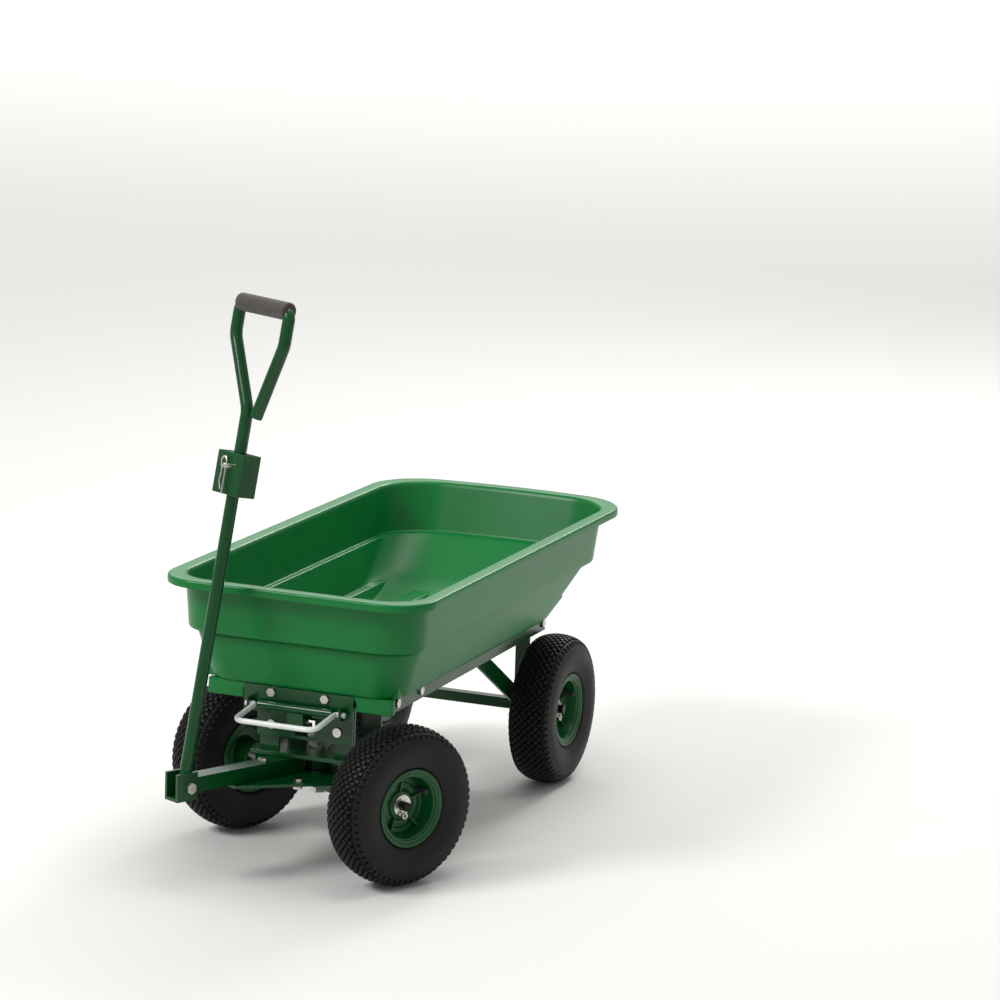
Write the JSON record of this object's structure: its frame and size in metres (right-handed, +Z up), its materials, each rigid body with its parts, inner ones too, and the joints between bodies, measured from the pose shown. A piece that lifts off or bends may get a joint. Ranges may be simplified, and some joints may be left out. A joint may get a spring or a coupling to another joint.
{
  "type": "garden dump cart",
  "caption": "Four-wheeled garden cart: a moulded tipping tray on a steel frame, with a steered front axle, pneumatic tyres, a fold-down drawbar and a D-shaped pull handle.",
  "frame": {"origin": "on the ground, at the middle of the bounding box at rest (front axle steered by 26 degrees, as pictured)", "axes": "+Z up, -Y towards the drawbar (front of the cart), +X to the right as seen from the drawbar end; left and right in names follow this view"},
  "size_m": [0.5242, 1.0996, 0.9277],
  "materials": {
    "tray_plastic": "moulded polyethylene, satin",
    "frame_paint": "gloss powder coat on steel",
    "rim_paint": "gloss powder coat on pressed steel",
    "zinc": "bright zinc plate",
    "bearing_steel": "ground bearing steel",
    "tyre": "matt black rubber",
    "valve_rubber": "black rubber",
    "grip_foam": "foam rubber sleeve",
    "coated_wire": "pale dipped coating on steel wire"
  },
  "bodies": {
    "chassis": {"side_rail_right": "frame_paint", "side_rail_left": "frame_paint", "cross_bar_front": "frame_paint", "cross_bar_middle": "frame_paint", "cross_bar_rear": "frame_paint", "front_post_right": "frame_paint", "front_post_left": "frame_paint", "back_post_right": "frame_paint", "back_post_left": "frame_paint", "bolster_plate": "frame_paint", "rear_axle_beam": "frame_paint", "rear_axle_rod": "zinc", "rear_post_right": "frame_paint", "rear_post_left": "frame_paint", "rear_brace_right": "frame_paint", "rear_brace_left": "frame_paint", "tip_hinge_lugs": "frame_paint", "tip_hinge_rod": "zinc", "latch_striker": "frame_paint", "frame_bolts": "zinc", "rear_hub_washers": "zinc", "rear_split_pins": "zinc"},
    "front_axle": {"front_axle_beam": "frame_paint", "front_stub_axles": "zinc", "yoke_plate": "frame_paint", "tongue": "frame_paint", "clevis": "frame_paint", "kingpin": "zinc", "drawbar_pivot_bolt": "zinc", "steering_bolts": "zinc", "front_hub_washers": "zinc", "front_split_pins": "zinc"},
    "drawbar": {"drawbar_tube": "frame_paint", "coupling_box": "frame_paint", "handle_tube": "frame_paint", "hand_grip": "grip_foam"},
    "hitch_pin": {"hitch_pin": "zinc", "r_clip": "zinc"},
    "tray": {"tray_shell": "tray_plastic", "tip_hinge_straps": "frame_paint", "latch_bracket": "frame_paint", "tray_bolts": "zinc"},
    "latch": {"latch_handle": "coated_wire", "latch_hook": "frame_paint"},
    "wheel_front_right": {"tyre_front_right": "tyre", "rim_front_right": "rim_paint", "bearings_front_right": "bearing_steel", "valve_stem_front_right": "valve_rubber"},
    "wheel_front_left": {"tyre_front_left": "tyre", "rim_front_left": "rim_paint", "bearings_front_left": "bearing_steel", "valve_stem_front_left": "valve_rubber"},
    "wheel_rear_right": {"tyre_rear_right": "tyre", "rim_rear_right": "rim_paint", "bearings_rear_right": "bearing_steel", "valve_stem_rear_right": "valve_rubber"},
    "wheel_rear_left": {"tyre_rear_left": "tyre", "rim_rear_left": "rim_paint", "bearings_rear_left": "bearing_steel", "valve_stem_rear_left": "valve_rubber"}
  },
  "joints": [
    {"name": "steer", "type": "hinge", "parent": "chassis", "child": "front_axle", "pos_m": [0, -0.27123, 0.13], "axis": [0, 0, 1], "range_deg": [-9, 61]},
    {"name": "drawbar_lift", "type": "hinge", "parent": "front_axle", "child": "drawbar", "pos_m": [-0.12187, -0.52109, 0.16], "axis": [0.8988, -0.4384, 0], "range_deg": [0, 108]},
    {"name": "hitch_pin_turn", "type": "hinge", "parent": "drawbar", "child": "hitch_pin", "pos_m": [-0.07942, -0.43408, 0.66276], "axis": [-0.4305, -0.8826, 0.1891], "continuous": true},
    {"name": "tray_tip", "type": "hinge", "parent": "chassis", "child": "tray", "pos_m": [0, 0.37377, 0.278], "axis": [-1, 0, 0], "range_deg": [0, 80]},
    {"name": "latch_lift", "type": "hinge", "parent": "tray", "child": "latch", "pos_m": [0, -0.37023, 0.266], "axis": [-1, 0, 0], "range_deg": [0, 45], "stiffness_Nm_per_rad": 0.4, "springref_deg": -45.84},
    {"name": "spin_front_right", "type": "hinge", "parent": "front_axle", "child": "wheel_front_right", "pos_m": [0.17931, -0.35868, 0.13], "axis": [0.8988, -0.4384, 0], "continuous": true},
    {"name": "spin_front_left", "type": "hinge", "parent": "front_axle", "child": "wheel_front_left", "pos_m": [-0.17931, -0.18377, 0.13], "axis": [0.8988, -0.4384, 0], "continuous": true},
    {"name": "spin_rear_right", "type": "hinge", "parent": "chassis", "child": "wheel_rear_right", "pos_m": [0.171, 0.33177, 0.13], "axis": [1, 0, 0], "continuous": true},
    {"name": "spin_rear_left", "type": "hinge", "parent": "chassis", "child": "wheel_rear_left", "pos_m": [-0.171, 0.33177, 0.13], "axis": [1, 0, 0], "continuous": true}
  ]
}
